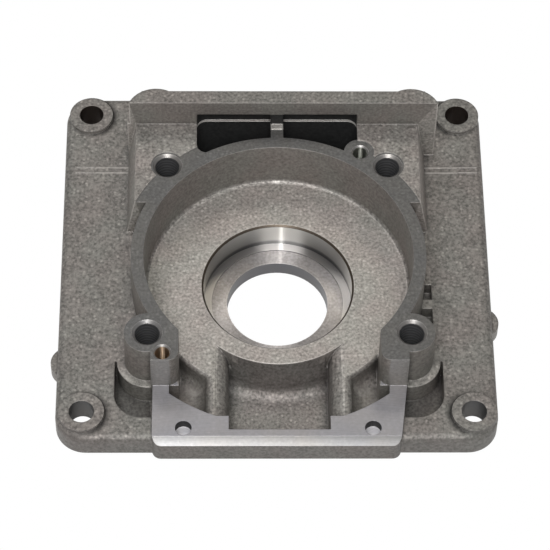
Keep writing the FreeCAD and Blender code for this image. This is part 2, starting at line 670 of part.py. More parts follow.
body.Tip = core
ring_of_cores = body.newObject("PartDesign::PolarPattern", "cores")
ring_of_cores.Originals = [core]
ring_of_cores.Axis = (sk, ["N_Axis"])
ring_of_cores.Angle = 2 * size["core_pitch"]
ring_of_cores.setExpression("Angle", "Sizes.core_pitch * 2 deg")
ring_of_cores.Occurrences = 3
body.Tip = ring_of_cores
check(ring_of_cores, "cores")

# ------------------------------------- cast hollows in front of the bearing
# Each is an extruded cross section that meets a turned section round the bore.


def loose_sketch(name, level=None):
    """Sketch in the XZ plane of the casting, outside the body."""
    sketch = doc.addObject("Sketcher::SketchObject", name)
    turned = FreeCAD.Rotation(V(1, 0, 0), 90)
    sketch.Placement = FreeCAD.Placement(V(0, value(level) if level else 0, 0), turned)
    if level:
        sketch.setExpression("Placement.Base.y", bound(level))
    return sketch


def extrude_forward(sketch, name, length):
    """Solid of the cross section, running towards -Y."""
    feature = doc.addObject("Part::Extrusion", name)
    feature.Base = sketch
    feature.DirMode = "Custom"
    feature.Dir = V(0, -1, 0)
    feature.Solid = True
    feature.LengthFwd = value(length)
    feature.setExpression("LengthFwd", bound(length))
    return feature


def turn_section(sketch, name):
    """Solid of the half section turned about the bore axis."""
    feature = doc.addObject("Part::Revolution", name)
    feature.Source = sketch
    feature.Axis = V(0, 0, 1)
    feature.Base = V(0, 0, 0)
    feature.Angle = 360
    feature.Solid = True
    return feature


def meet(name, parts):
    feature = doc.addObject("Part::MultiCommon", name)
    feature.Shapes = parts
    doc.recompute()
    if feature.Shape.isNull() or feature.Shape.Volume < 1:
        raise RuntimeError(name + " is empty")
    return feature


# channel: straight sides, curved wall behind it, closed in front
sk = loose_sketch("trough_cross", "-seat_dia/2")
rectangle(sk, "-trough_half", "trough_half", "-trough_floor", "plat_level+2")
trough_long = extrude_forward(sk, "trough_long", "trough_front-seat_dia/2")
sk = loose_sketch("trough_section")
add_outline(sk, [("trough_wall", "plat_level+2"),
                 ("trough_wall", "0"),
                 ("trough_wall+trough_slope", "-trough_floor+trough_round",
                  "trough_wall+trough_slope+trough_round", "-trough_floor+trough_round", 1),
                 ("trough_wall+trough_slope+trough_round", "-trough_floor"),
                 ("keel_front-4", "-trough_floor"),
                 ("sump_radius+1", "-flange_back+3"),
                 ("sump_radius+1", "plat_level+2")])
trough = meet("trough", [trough_long, turn_section(sk, "trough_turned")])

# rounded shoulders of the columns along the channel
sk = loose_sketch("shoulder_cross", "-seat_dia/2+4")
add_outline(sk, [("trough_half-1", "-trough_shoulder"),
                 ("trough_half", "-trough_shoulder", "trough_half+trough_shoulder",
                  "-trough_shoulder", -1),
                 ("trough_half+trough_shoulder", "0"),
                 ("trough_half+trough_shoulder", "plat_level+2"),
                 ("trough_half-1", "plat_level+2")])
add_outline(sk, [("-trough_half+1", "-trough_shoulder"),
                 ("-trough_half+1", "plat_level+2"),
                 ("-trough_half-trough_shoulder", "plat_level+2"),
                 ("-trough_half-trough_shoulder", "0", "-trough_half-trough_shoulder",
                  "-trough_shoulder", -1),
                 ("-trough_half", "-trough_shoulder")])
shoulder_long = extrude_forward(sk, "shoulder_long", "moat_radius-seat_dia/2")
sk = loose_sketch("shoulder_section")
add_outline(sk, [("trough_wall", "plat_level+2"),
                 ("trough_wall", "0"),
                 ("trough_wall+trough_slope", "-trough_floor"),
                 ("moat_radius", "-trough_floor"),
                 ("moat_radius", "plat_level+2")])
shoulders = meet("shoulders", [shoulder_long, turn_section(sk, "shoulder_turned")])

# crescent hollows either side, between the columns and the necks
sk = loose_sketch("moat_cross", "-seat_dia/2+4")
moat_profile = [("moat_inner", "-moat_floor+moat_round", "moat_inner+moat_round",
                 "-moat_floor+moat_round", 1),
                ("moat_inner+moat_round", "-moat_floor"),
                ("neck_inner", "-moat_floor"),
                ("neck_inner", "plat_level+2"),
                ("moat_inner-column_round", "plat_level+2"),
                ("moat_inner-column_round", "0", "moat_inner-column_round", "-column_round", -1),
                ("moat_inner", "-column_round")]
add_outline(sk, moat_profile)
add_outline(sk, [("-moat_inner-moat_round", "-moat_floor", "-moat_inner-moat_round",
                  "-moat_floor+moat_round", 1),
                 ("-moat_inner", "-moat_floor+moat_round"),
                 ("-moat_inner", "-column_round", "-moat_inner+column_round", "-column_round", -1),
                 ("-moat_inner+column_round", "0"),
                 ("-moat_inner+column_round", "plat_level+2"),
                 ("-neck_inner", "plat_level+2"),
                 ("-neck_inner", "-moat_floor")])
moat_long = extrude_forward(sk, "moat_long", "moat_radius-seat_dia/2")
sk = loose_sketch("moat_side_cross", "-neck_front")
rectangle(sk, "neck_inner-1", "moat_side", "-moat_floor", "plat_level+2")
rectangle(sk, "-moat_side", "-neck_inner+1", "-moat_floor", "plat_level+2")
moat_side_long = extrude_forward(sk, "moat_side_long", "moat_radius-neck_front")
sk = loose_sketch("moat_section")
add_outline(sk, [("disc_radius-disc_round", "0", "disc_radius-disc_round", "-disc_round", -1),
                 ("disc_radius", "-disc_round"),
                 ("disc_radius", "-moat_floor+moat_round", "disc_radius+moat_round",
                  "-moat_floor+moat_round", 1),
                 ("disc_radius+moat_round", "-moat_floor"),
                 ("moat_radius-moat_round", "-moat_floor", "moat_radius-moat_round",
                  "-moat_floor+moat_round", 1),
                 ("moat_radius", "-moat_floor+moat_round"),
                 ("moat_radius", "plat_level+2"),
                 ("disc_radius-disc_round", "plat_level+2")])
moat_turned = turn_section(sk, "moat_turned")
moats = meet("moats", [moat_long, moat_turned])
moat_ends = meet("moat_ends", [moat_side_long, moat_turned])

hollows = doc.addObject("Part::MultiFuse", "hollows")
hollows.Shapes = [trough, shoulders, moats, moat_ends]
doc.recompute()
casting = doc.addObject("Part::Cut", "casting_cut")
casting.Base = body
casting.Tool = hollows
doc.recompute()
casting.Label = "housing"

# ------------------------------------------------------------------- write
for item in doc.Objects:
    if "Invalid" in item.State or "Error" in item.State:
        raise RuntimeError("not solved: " + item.Name)
shape = casting.Shape
if shape.isNull() or not shape.isValid() or len(shape.Solids) != 1:
    raise RuntimeError("the casting is not one valid solid")
os.makedirs("parts", exist_ok=True)
casting.Shape.exportStep("parts/housing.step")
box = shape.BoundBox
print("housing", round(shape.Volume, 1), "mm3", len(shape.Faces), "faces")
print("box", [round(v, 2) for v in (box.XMin, box.XMax, box.YMin, box.YMax, box.ZMin, box.ZMax)])
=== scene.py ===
import math
import bpy
import numpy as np
from mathutils import Matrix, Vector


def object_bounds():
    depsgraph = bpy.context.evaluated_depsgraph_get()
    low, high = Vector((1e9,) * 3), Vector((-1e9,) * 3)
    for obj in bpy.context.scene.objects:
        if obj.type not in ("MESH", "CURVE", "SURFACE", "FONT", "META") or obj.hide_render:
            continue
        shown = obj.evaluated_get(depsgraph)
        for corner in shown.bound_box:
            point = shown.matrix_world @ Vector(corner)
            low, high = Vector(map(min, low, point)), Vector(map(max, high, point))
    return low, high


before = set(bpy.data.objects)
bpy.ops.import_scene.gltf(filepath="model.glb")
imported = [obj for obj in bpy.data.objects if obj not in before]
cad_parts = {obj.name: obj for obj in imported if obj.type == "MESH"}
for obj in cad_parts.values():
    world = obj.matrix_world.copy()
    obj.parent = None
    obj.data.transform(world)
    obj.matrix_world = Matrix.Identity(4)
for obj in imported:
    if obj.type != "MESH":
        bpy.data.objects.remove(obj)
size_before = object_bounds()
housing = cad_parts["housing"]
MM = 0.001

# ------------------------------------------------------------------ sizes of the part, mm
FACE_Z = 19.0
PLATFORM_Z = 3.5
SEAT_R = 26.0
SHOULDER_Z = -10.5
SHOULDER_R = 23.2
THROUGH_R = 17.75
TAPS = [(38.8, 38.4), (-38.8, 38.4), (44.8, -32.8), (-44.8, -32.8)]
TAP_R = 4.25
TAP_PITCH = 1.5
PEGS = [(31.5, -61.1), (-32.5, -61.1)]
PEG_R = 2.8
DOWELS = [(29.3, 44.5), (-39.6, -40.8)]
DOWEL_R = 2.5
CORNERS = [(-67.0, 74.3), (66.0, 74.3), (-67.0, -54.0), (66.0, -54.0)]
CORNER_R = 4.3
PAD_R = 7.9
BOSS_FOOT_R = 10.7
RING_R = 51.0
POCKET_R = 46.6
RIM_Z = 31.0
LINE_REAR = 51.4
LINE_PITCH = 2.3
LINE_WIDTH = 0.55
LINE_INNER = 52.6
LINE_OUTER = 72.4


# ------------------------------------------------------------------ sizes of the finishes
# cells or waves per metre: grains and dents of the skin, spots on it, clouds and slow tints
GRAINS, DENTS, SPOTS, CLOUDS, TINTS = 1000.0, 760.0, 680.0, 130.0, 55.0
FLECK_FROM, PIT_BELOW = 0.66, 0.16
CAST_EDGE, TURNED_EDGE = 0.8, 0.3
CAST_BUMP, TURNED_BUMP, THREAD_BUMP = 0.12, 0.05, 0.6
# reach of the painted shade in the inner corners of turned metal, mm
TURNED_SHADE_REACH = 2.5
SAMPLES = 6
PAD_SHADOW = 2.2
BAND_EDGE, BAND_RISE = 0.8, 3.0
SEAT_BAND = 3.0
MILL_CENTRE = (0, -0.4, 0)
CHAMFER_TOP_Y, CHAMFER_FOOT_Y, CHAMFER_FADE_X = -64.4, -66.8, 40.0


# ------------------------------------------------------------------ node helpers
def group(name, inputs, outputs):
    """New shader node group; inputs and outputs are (name, kind, default)."""
    tree = bpy.data.node_groups.new(name, "ShaderNodeTree")
    for way, sockets in (("INPUT", inputs), ("OUTPUT", outputs)):
        for label, kind, default in sockets:
            socket = tree.interface.new_socket(name=label, in_out=way, socket_type="NodeSocket" + kind)
            if default is not None:
                socket.default_value = default
    return tree, tree.nodes.new("NodeGroupInput"), tree.nodes.new("NodeGroupOutput")


def feed(tree, made, inputs):
    """Link the inputs that are given as sockets and set the others."""
    for key, val in inputs.items():
        if isinstance(val, bpy.types.NodeSocket):
            tree.links.new(val, made.inputs[key])
        else:
            made.inputs[key].default_value = val
    return made


def node(tree, kind, inputs=None, **props):
    """Add a node, set its properties, then set or link its inputs."""
    made = tree.nodes.new("ShaderNode" + kind)
    for key, val in props.items():
        setattr(made, key, val)
    return feed(tree, made, inputs or {})


def use(tree, shared, inputs):
    """Place a shared node group and feed it."""
    made = tree.nodes.new("ShaderNodeGroup")
    made.node_tree = shared
    return feed(tree, made, inputs)


def math_node(tree, kind, a, b=None, c=None, clamp=False):
    """Result of a Math node on up to three values."""
    given = {index: val for index, val in enumerate((a, b, c)) if val is not None}
    return node(tree, "Math", given, operation=kind, use_clamp=clamp).outputs[0]


def from_centre(tree, place, centre):
    """Place measured from a centre."""
    return node(tree, "VectorMath", {0: place, 1: centre}, operation="SUBTRACT").outputs[0]


def length_of(tree, vector):
    """Length of a vector."""
    return node(tree, "VectorMath", {0: vector}, operation="LENGTH").outputs["Value"]


def ramp(tree, value, stops):
    """Colour ramp; stops are (position, colour)."""
    made = node(tree, "ValToRGB", {"Fac": value})
    marks = made.color_ramp.elements
    while len(marks) < len(stops):
        marks.new(0.5)
    for mark, (place, colour) in zip(marks, stops):
        mark.position = place
        mark.color = (*colour, 1.0)
    return made.outputs["Color"]


def grey(level):
    """Neutral colour of one level."""
    return (level, level, level)


def scaled(colour, gain):
    """Colour made lighter or darker by a factor, with its alpha."""
    return (*[min(1.0, c * gain) for c in colour], 1.0)


def blend_colour(tree, factor, a, b, kind="MIX"):
    """Result of a colour Mix node, whose sockets 0, 6 and 7 are the factor and the two colours."""
    made = node(tree, "Mix", data_type="RGBA", blend_type=kind)
    return feed(tree, made, {0: factor, 6: a, 7: b}).outputs[2]


def times(tree, colour, gain):
    """Colour multiplied by another colour or value."""
    return blend_colour(tree, 1.0, colour, gain, "MULTIPLY")


# ------------------------------------------------------------------ shared effects
def make_grain_group():
    """Shot blasted die cast skin: peened grains, bright flecks, dark pits and slow colour clouds."""
    tree, entry, leave = group("CastGrain", [("Vector", "Vector", None)],
                               [("Height", "Float", None), ("Shade", "Float", None),
                                ("Tint", "Float", None), ("Fleck", "Float", None)])
    place = entry.outputs["Vector"]
    grains = node(tree, "TexNoise", {"Vector": place, "Scale": GRAINS, "Detail": 3.0, "Roughness": 0.6})
    dents = node(tree, "TexVoronoi", {"Vector": place, "Scale": DENTS}, feature="SMOOTH_F1")
    clouds = node(tree, "TexNoise", {"Vector": place, "Scale": CLOUDS, "Detail": 3.0, "Roughness": 0.6})
    tints = node(tree, "TexNoise", {"Vector": place, "Scale": TINTS, "Detail": 2.0, "Roughness": 0.5})
    mottled = math_node(tree, "MULTIPLY_ADD", clouds.outputs["Fac"], 0.22, grains.outputs["Fac"])
    # round spots: one cell out of three is a bright fleck, one out of six a dark pit
    cells = node(tree, "TexVoronoi", {"Vector": place, "Scale": SPOTS})
    chance = node(tree, "SeparateColor", {"Color": cells.outputs["Color"]}).outputs["Red"]
    chosen = math_node(tree, "GREATER_THAN", chance, FLECK_FROM)
    pitted = math_node(tree, "LESS_THAN", chance, PIT_BELOW)
    spot = math_node(tree, "MULTIPLY_ADD", cells.outputs["Distance"], -2.4, 1.1, clamp=True)
    fleck = math_node(tree, "MULTIPLY", spot, chosen)
    pit = math_node(tree, "MULTIPLY", spot, pitted)
    shade = math_node(tree, "MULTIPLY_ADD", pit, -0.16, mottled)
    rough = math_node(tree, "MULTIPLY_ADD", dents.outputs["Distance"], 0.4, grains.outputs["Fac"])
    height = math_node(tree, "MULTIPLY_ADD", spot, 0.25, rough)
    feed(tree, leave, {"Height": height, "Shade": shade, "Tint": tints.outputs["Fac"], "Fleck": fleck})
    return tree


def make_line_group():
    """Mask of the two raised witness lines: |x| within their reach, y within half a width of either."""
    tree, entry, leave = group("WitnessLines", [("Vector", "Vector", None)], [("Mask", "Float", None)])
    parts = node(tree, "SeparateXYZ", {0: entry.outputs["Vector"]})
    middle, half_reach = (LINE_INNER + LINE_OUTER) / 2 * MM, (LINE_OUTER - LINE_INNER) / 2 * MM
    across = math_node(tree, "ABSOLUTE", parts.outputs["X"])
    from_mid = math_node(tree, "ABSOLUTE", math_node(tree, "SUBTRACT", across, middle))
    reach = math_node(tree, "LESS_THAN", from_mid, half_reach)
    centre = LINE_REAR - LINE_WIDTH / 2 - LINE_PITCH / 2
    off_pair = math_node(tree, "ABSOLUTE", math_node(tree, "SUBTRACT", parts.outputs["Y"], centre * MM))
    off_line = math_node(tree, "ABSOLUTE", math_node(tree, "SUBTRACT", off_pair, LINE_PITCH / 2 * MM))
    crest = math_node(tree, "MULTIPLY_ADD", off_line, -1.0 / (LINE_WIDTH * MM), 1.2, clamp=True)
    tree.links.new(math_node(tree, "MULTIPLY", crest, reach), leave.inputs["Mask"])
    return tree


def make_edge_group():
    """Softened normal and a mask that is 1 on worn convex edges."""
    tree, entry, leave = group("SoftEdge", [("Radius", "Float", 0.0004)],
                               [("Normal", "Vector", None), ("Mask", "Float", None)])
    bevel = node(tree, "Bevel", {"Radius": entry.outputs["Radius"]}, samples=SAMPLES)
    facing = node(tree, "NewGeometry")
    alike = node(tree, "VectorMath", {0: bevel.outputs[0], 1: facing.outputs["Normal"]},
                 operation="DOT_PRODUCT")
    gap = math_node(tree, "SUBTRACT", 1.0, alike.outputs["Value"])
    mask = math_node(tree, "MULTIPLY", gap, 6.0, clamp=True)
    tree.links.new(bevel.outputs[0], leave.inputs["Normal"])
    tree.links.new(mask, leave.inputs["Mask"])
    return tree


def make_turned_group():
    """Tool marks of turning round an axis along Z: fine rings in radius and height."""
    tree, entry, leave = group("TurnedRings",
                               [("Vector", "Vector", None), ("Centre", "Vector", (0, 0, 0)),
                                ("Pitch", "Float", 4000.0)],
                               [("Height", "Float", None)])
    shifted = from_centre(tree, entry.outputs["Vector"], entry.outputs["Centre"])
    flat = node(tree, "VectorMath", {0: shifted, 1: (1.0, 1.0, 0.0)}, operation="MULTIPLY").outputs[0]
    radius = length_of(tree, flat)
    parts = node(tree, "SeparateXYZ", {0: shifted})
    along = math_node(tree, "ADD", radius, parts.outputs["Z"])
    scaled = math_node(tree, "MULTIPLY", along, entry.outputs["Pitch"])
    rings = node(tree, "TexNoise", {"W": scaled, "Scale": 1.0, "Detail": 2.0}, noise_dimensions="1D")
    tree.links.new(rings.outputs["Fac"], leave.inputs["Height"])
    return tree


def make_thread_group():
    """Helix height for a threaded hole: sawtooth of (z / pitch - angle / 2 pi)."""
    tree, entry, leave = group("ThreadHelix",
                               [("Vector", "Vector", None), ("Centre", "Vector", (0, 0, 0)),
                                ("Pitch", "Float", 0.0015)],
                               [("Height", "Float", None)])
    shifted = from_centre(tree, entry.outputs["Vector"], entry.outputs["Centre"])
    parts = node(tree, "SeparateXYZ", {0: shifted})
    turn = math_node(tree, "ARCTAN2", parts.outputs["Y"], parts.outputs["X"])
    turns = math_node(tree, "DIVIDE", turn, 2.0 * math.pi)
    rise = math_node(tree, "DIVIDE", parts.outputs["Z"], entry.outputs["Pitch"])
    phase = math_node(tree, "SUBTRACT", rise, turns)
    saw = math_node(tree, "PINGPONG", phase, 0.5)
    tree.links.new(saw, leave.inputs["Height"])
    return tree


def make_pad_foot_shadow_group():
    """Painted shadow at the foot of the corner pads: a darker ring just outside the pad radius, stronger
    towards the middle, folded on all four.
    """
    tree, entry, leave = group("PadFootShadow", [("Vector", "Vector", None)], [("Shade", "Float", None)])
    parts = node(tree, "SeparateXYZ", {0: entry.outputs["Vector"]})
    (left, rear), (right, front) = CORNERS[0], CORNERS[3]
    folded = []
    for axis, a, b in (("X", left, right), ("Y", front, rear)):
        off_middle = math_node(tree, "SUBTRACT", parts.outputs[axis], (a + b) / 2 * MM)
        away = math_node(tree, "ABSOLUTE", off_middle)
        folded.append(math_node(tree, "SUBTRACT", away, abs(b - a) / 2 * MM))
    joined = node(tree, "CombineXYZ", {"X": folded[0], "Y": folded[1]}).outputs[0]
    radius = length_of(tree, joined)
    fade = math_node(tree, "MULTIPLY_ADD", radius, -1.0 / (PAD_SHADOW * MM),
                     (PAD_R + PAD_SHADOW) / PAD_SHADOW, clamp=True)
    outside = math_node(tree, "GREATER_THAN", radius, (PAD_R - 0.25) * MM)
    inward = math_node(tree, "MULTIPLY_ADD", folded[0], -0.5 / (PAD_R * MM), 0.45, clamp=True)
    ring = math_node(tree, "MULTIPLY", math_node(tree, "MULTIPLY", fade, outside), inward)
    tree.links.new(math_node(tree, "MULTIPLY_ADD", ring, -0.95, 1.0), leave.inputs["Shade"])
    return tree


def make_boss_foot_light_group():
    """Painted light on the crescent at the foot of the front bosses, folded on both sides."""
    tree, entry, leave = group("BossFootLight", [("Vector", "Vector", None)], [("Gain", "Float", None)])
    parts = node(tree, "SeparateXYZ", {0: entry.outputs["Vector"]})
    boss_x, boss_y = TAPS[2]
    away = math_node(tree, "SUBTRACT", math_node(tree, "ABSOLUTE", parts.outputs["X"]), boss_x * MM)
    ahead = math_node(tree, "SUBTRACT", parts.outputs["Y"], boss_y * MM)
    joined = node(tree, "CombineXYZ", {"X": away, "Y": ahead}).outputs[0]
    radius = length_of(tree, joined)
    near = math_node(tree, "MULTIPLY_ADD", radius, -1.0 / (BAND_EDGE * MM),
                     (BOSS_FOOT_R + BAND_EDGE / 2) / BAND_EDGE, clamp=True)
    front = math_node(tree, "MULTIPLY_ADD", ahead, -1.0 / (BAND_RISE * MM), -0.3, clamp=True)
    tree.links.new(math_node(tree, "MULTIPLY_ADD", math_node(tree, "MULTIPLY", near, front), 0.7, 1.0),
                   leave.inputs["Gain"])
    return tree


GRAIN = make_grain_group()
BOSS_FOOT_LIGHT = make_boss_foot_light_group()
PAD_FOOT_SHADOWS = make_pad_foot_shadow_group()
LINES = make_line_group()
EDGE = make_edge_group()
TURNED = make_turned_group()
THREAD = make_thread_group()


def start_material(name, metal, rough):
    """New material with its Principled shader; gives its tree, shader, Object coordinates and output."""
    material = bpy.data.materials.new(name)
    material.use_nodes = True
    tree = material.node_tree
    tree.nodes.clear()
    out = node(tree, "OutputMaterial")
    surface = node(tree, "BsdfPrincipled", {"Metallic": metal, "Roughness": rough})
    tree.links.new(surface.outputs[0], out.inputs["Surface"])
    place = node(tree, "TexCoord").outputs["Object"]
    return material, tree, surface, place, out


def painted_corner_shade(tree, colour, reach, darkest):
    """Painted shade: colour darkened in inner corners, by how much is open within a reach in mm."""
    hollow = node(tree, "AmbientOcclusion", {"Distance": reach * MM}, samples=SAMPLES)
    corner_shade = ramp(tree, hollow.outputs["AO"], [(0.25, grey(darkest)), (0.8, grey(1.0))])
    return times(tree, colour, corner_shade)


def bump_surface(tree, surface, height, strength, depth, normal=None):
    """Bump the shader's normal by a height; the depth is in mm."""
    inputs = {"Strength": strength, "Distance": depth * MM, "Height": height}
    if normal is not None:
        inputs["Normal"] = normal
    tree.links.new(node(tree, "Bump", inputs).outputs[0], surface.inputs["Normal"])


# ------------------------------------------------------------------ materials
def cast_material(name, dark, light, metal, rough, bump=0.5, wear=0.35, flecks=0.5, darkest_corner_shade=0.45, reach=3.5,
                  lines=False):
    """Shot blasted casting skin: grain bump, flecks, slow tint, brighter worn edges and painted shade in
    corners.
    """
    material, tree, surface, place, _ = start_material(name, metal, rough)
    grain = use(tree, GRAIN, {"Vector": place})
    edge = use(tree, EDGE, {"Radius": CAST_EDGE * MM})
    speckle = ramp(tree, grain.outputs["Shade"], [(0.42, dark), (0.76, light)])
    bright = scaled(light, 2.0)
    flecked = blend_colour(tree, math_node(tree, "MULTIPLY", grain.outputs["Fleck"], flecks), speckle, bright)
    cloud = ramp(tree, grain.outputs["Tint"], [(0.38, (1.0, 0.965, 0.955)), (0.62, (0.975, 1.0, 0.98))])
    tinted = times(tree, flecked, cloud)
    wear_and_painted_light = blend_colour(tree, math_node(tree, "MULTIPLY", edge.outputs["Mask"], wear), tinted, bright)
    height = grain.outputs["Height"]
    if lines:
        mask = use(tree, LINES, {"Vector": place}).outputs["Mask"]
        # painted highlight: the crest of the raised witness lines is made brighter
        wear_and_painted_light = blend_colour(tree, math_node(tree, "MULTIPLY", mask, 0.45), wear_and_painted_light, bright)
        height = math_node(tree, "MULTIPLY_ADD", mask, 2.0, height)
        # painted shadow at the foot of the corner pads
        wear_and_painted_light = times(tree, wear_and_painted_light, use(tree, PAD_FOOT_SHADOWS, {"Vector": place}).outputs["Shade"])
        # painted light on the crescent at the foot of the front bosses
        wear_and_painted_light = times(tree, wear_and_painted_light, use(tree, BOSS_FOOT_LIGHT, {"Vector": place}).outputs["Gain"])
    # painted shade: the colour is darkened in inner corners
    tree.links.new(painted_corner_shade(tree, wear_and_painted_light, reach, darkest_corner_shade), surface.inputs["Base Color"])
    bump_surface(tree, surface, height, bump, CAST_BUMP, edge.outputs["Normal"])
    return material


def turned_material(name, colour, metal, rough, centre=(0, 0, 0), pitch=4000.0, bump=0.15, wear=0.6,
                    streak=0.0, flecks=0.0, corner_shade=1.0, foot=None):
    """Machined metal with fine tool marks and a bright broken edge."""
    material, tree, surface, place, out = start_material(name, metal, rough)
    rings = use(tree, TURNED, {"Vector": place, "Centre": centre, "Pitch": pitch})
    grain = use(tree, GRAIN, {"Vector": place})
    edge = use(tree, EDGE, {"Radius": TURNED_EDGE * MM})
    marked = blend_colour(tree, rings.outputs["Height"], scaled(colour, 0.86), scaled(colour, 1.14))
    cloud = ramp(tree, grain.outputs["Tint"], [(0.3, (0.93, 0.94, 0.97)), (0.7, (1.0, 0.98, 0.95))])
    tinted = times(tree, marked, cloud)
    bright = scaled(colour, 2.2)
    height = rings.outputs["Height"]
    if flecks:
        spots = math_node(tree, "MULTIPLY", grain.outputs["Fleck"], flecks)
        pores = ramp(tree, grain.outputs["Shade"],
                     [(0.45, grey(1.0 - flecks * 0.7)), (0.75, grey(1.0 + flecks * 0.5))])
        tinted = blend_colour(tree, spots, times(tree, tinted, pores), bright)
        height = math_node(tree, "MULTIPLY_ADD", grain.outputs["Height"], 0.6, height)
    wear_and_painted_light = blend_colour(tree, math_node(tree, "MULTIPLY", edge.outputs["Mask"], wear), tinted, bright)
    # painted shade: the colour is darkened in inner corners when asked for
    if corner_shade < 1.0:
        wear_and_painted_light = painted_corner_shade(tree, wear_and_painted_light, TURNED_SHADE_REACH, corner_shade)
    if foot is not None:
        # painted dark reflection: a darker bluish band at the foot of the wall
        rise = node(tree, "SeparateXYZ", {0: place}).outputs["Z"]
        share = math_node(tree, "MULTIPLY_ADD", rise, 1.0 / (SEAT_BAND * MM), -foot / SEAT_BAND, clamp=True)
        painted_dark_band = ramp(tree, share, [(0.0, (0.10, 0.105, 0.14)), (0.5, (0.2, 0.2, 0.235)), (0.85, grey(1.0))])
        wear_and_painted_light = times(tree, wear_and_painted_light, painted_dark_band)
    tree.links.new(wear_and_painted_light, surface.inputs["Base Color"])
    bump_surface(tree, surface, height, bump, TURNED_BUMP, edge.outputs["Normal"])
    if streak:
        # tool marks run round the hole, so highlights spread along its axis; the two shaders count
        # the turn of their highlights from different directions
        shifted = from_centre(tree, place, centre)
        lay = node(tree, "VectorMath", {0: (0.0, 0.0, 1.0), 1: shifted},
                   operation="CROSS_PRODUCT").outputs[0]
        feed(tree, surface, {"Anisotropic": 0.85, "Anisotropic Rotation": 0.25, "Tangent": lay})
        gloss = node(tree, "BsdfAnisotropic", {"Color": scaled(colour, 1.3), "Roughness": 0.42,
                                               "Anisotropy": 0.88, "Tangent": lay})
        both = node(tree, "MixShader", {0: streak, 1: surface.outputs[0], 2: gloss.outputs[0]})
        tree.links.new(both.outputs[0], out.inputs["Surface"])
    return material


def chamfer_material(name, colour):
    """Milled chamfer with painted light: brighter towards its front edge and towards the left end."""
    made = turned_material(name, colour, 0.7, 0.45, centre=MILL_CENTRE, pitch=2500.0, flecks=0.1)
    tree = made.node_tree
    surface = next(item for item in tree.nodes if item.type == "BSDF_PRINCIPLED")
    before = surface.inputs["Base Color"].links[0].from_socket
    place = node(tree, "TexCoord").outputs["Object"]
    parts = node(tree, "SeparateXYZ", {0: place})
    down = node(tree, "MapRange", {"Value": parts.outputs["Y"], "From Min": CHAMFER_TOP_Y * MM,
                                   "From Max": CHAMFER_FOOT_Y * MM, "To Min": 0.62, "To Max": 1.35})
    along = node(tree, "MapRange", {"Value": parts.outputs["X"], "From Min": -CHAMFER_FADE_X * MM,
                                    "From Max": CHAMFER_FADE_X * MM, "To Min": 1.3, "To Max": 0.78})
    # painted light: brighter towards the front edge and towards the left end
    both = math_node(tree, "MULTIPLY", down.outputs[0], along.outputs[0])
    tree.links.new(times(tree, before, both), surface.inputs["Base Color"])
    return made


def thread_material(name, centre, pitch, colour):
    """Inside of a tapped hole: helical groove, dark oily metal and painted shade in the thread roots."""
    material, tree, surface, place, _ = start_material(name, 0.7, 0.45)
    helix = use(tree, THREAD, {"Vector": place, "Centre": centre, "Pitch": pitch})
    # painted shade: the thread roots are darker
    shade = ramp(tree, helix.outputs["Height"], [(0.1, tuple(c * 0.6 for c in colour)), (0.45, colour)])
    tree.links.new(shade, surface.inputs["Base Color"])
    bump_surface(tree, surface, helix.outputs["Height"], 0.5, THREAD_BUMP)
    return material


CAST = cast_material("die_cast_skin", (0.095, 0.088, 0.082), (0.255, 0.238, 0.223), 0.4, 0.55, bump=0.7)
FLANGE = cast_material("die_cast_flange", (0.081, 0.076, 0.071), (0.21, 0.197, 0.184), 0.4, 0.58, bump=0.7,
                       wear=0.15, lines=True)
# painted light: a lighter copy of the cast skin, used on the pocket floor and on the block's flanks
LIT_CAST = cast_material("die_cast_painted_light", (0.16, 0.149, 0.139), (0.36, 0.338, 0.316), 0.4, 0.5, bump=0.8,
                      darkest_corner_shade=0.6, flecks=0.4, wear=0.6)
WALL = cast_material("die_cast_wall", (0.13, 0.12, 0.11), (0.23, 0.215, 0.20), 0.4, 0.5, bump=0.25, wear=0.12,
                     flecks=0.15)
# painted shade: a darker copy of the cast skin for faces that face the front and for the channel walls
FRONT_SHADED = cast_material("die_cast_front_painted_shade", (0.085, 0.078, 0.072), (0.16, 0.15, 0.142), 0.4, 0.52, bump=0.3,
                      wear=0.35, flecks=0.15)
MILLED = turned_material("milled_face", (0.099, 0.097, 0.094), 0.55, 0.5, flecks=0.35, wear=0.9)
NECK = turned_material("milled_neck", (0.225, 0.217, 0.207), 0.55, 0.5, centre=MILL_CENTRE,
                       pitch=2500.0, flecks=0.2)
PLATFORM = turned_material("milled_platform", (0.245, 0.24, 0.252), 0.6, 0.42, centre=MILL_CENTRE,
                           pitch=2500.0, flecks=0.08, wear=0.35)
CHAMFER = chamfer_material("milled_chamfer", (0.35, 0.344, 0.338))
SEAT = turned_material("bearing_seat", (0.47, 0.46, 0.435), 0.95, 0.3, pitch=5000.0, bump=0.1, streak=0.25,
                       corner_shade=0.6, foot=SHOULDER_Z)
# painted dark reflection on the chamfer at the mouth of the bearing seat
MOUTH_SHADED = turned_material("seat_mouth_painted_reflection", (0.10, 0.082, 0.065), 0.8, 0.35, wear=0.1)
SHOULDER = turned_material("turned_shoulder", (0.42, 0.40, 0.385), 0.9, 0.36, pitch=3000.0, corner_shade=0.6,
                           streak=0.5)
LAND = turned_material("cast_land", (0.35, 0.327, 0.315), 0.7, 0.45, pitch=2000.0, flecks=0.3,
                       corner_shade=0.6, streak=0.15)
THROAT = turned_material("through_hole", (0.14, 0.138, 0.142), 0.8, 0.4, pitch=2500.0)
DRILLED = turned_material("drilled_hole", (0.15, 0.148, 0.145), 0.8, 0.42, pitch=2500.0)
